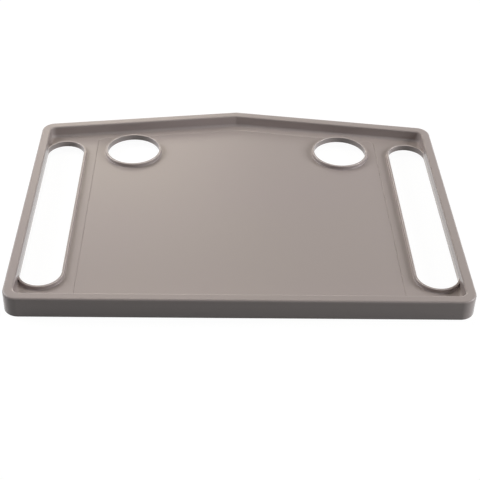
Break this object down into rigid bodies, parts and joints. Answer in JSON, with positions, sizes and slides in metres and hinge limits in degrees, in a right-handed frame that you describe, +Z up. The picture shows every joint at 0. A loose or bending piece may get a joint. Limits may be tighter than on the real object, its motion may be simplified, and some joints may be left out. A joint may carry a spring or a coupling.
{
  "type": "walker tray",
  "caption": "Shallow tray that drops over the hand grips of a walking frame, with a hollow rim, a peaked far edge, grip slots and cup holes with raised lips.",
  "frame": {"origin": "on the surface that the tray stands on, under the middle of its bounding box", "axes": "+X to the user's right, across the tray; +Y away from the user, towards the peaked edge; +Z up"},
  "size_m": [0.533, 0.4044, 0.026],
  "materials": {
    "tray_plastic": "satin moulded ABS, warm grey"
  },
  "bodies": {
    "root": {"tray_moulding": "tray_plastic"}
  },
  "joints": []
}
